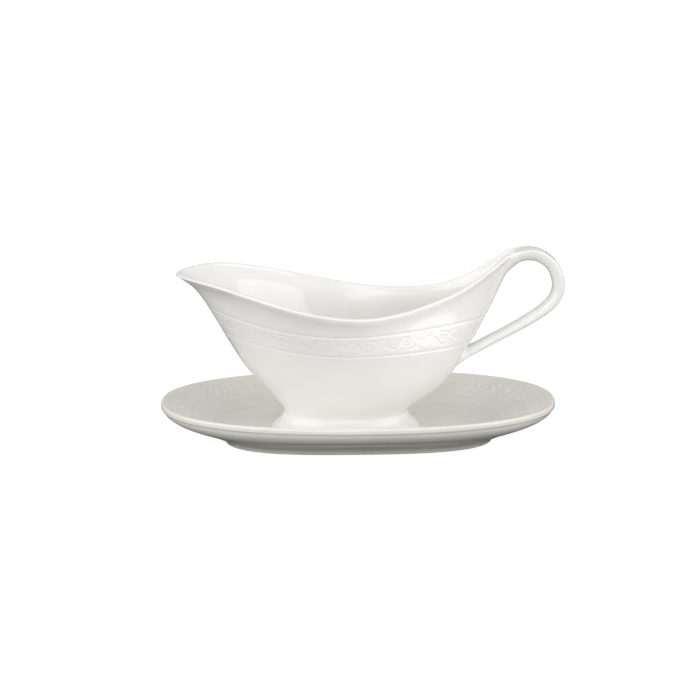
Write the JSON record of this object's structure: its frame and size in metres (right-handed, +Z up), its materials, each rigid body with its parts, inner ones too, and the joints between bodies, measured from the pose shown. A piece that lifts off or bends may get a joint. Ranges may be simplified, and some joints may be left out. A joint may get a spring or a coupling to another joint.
{
  "type": "gravy boat",
  "caption": "White glazed porcelain gravy boat with a pouring spout, loop handle and pedestal foot, standing loose on its own oval stand; both carry a relief scroll band.",
  "frame": {"origin": "centre of the stand's foot ring, on the table", "axes": "+Z up, +X from the pouring spout towards the handle, +Y across the boat"},
  "size_m": [0.2245, 0.13, 0.1089],
  "materials": {
    "stand_porcelain": "glossy",
    "boat_porcelain": "glossy"
  },
  "bodies": {
    "stand": {"stand": "stand_porcelain"},
    "boat": {"bowl": "boat_porcelain", "foot": "boat_porcelain", "handle": "boat_porcelain"}
  },
  "joints": [
    {"name": "boat_lift", "type": "slide", "parent": "stand", "child": "boat", "axis": [0, 0, 1], "range_m": [0, 0.12]}
  ]
}
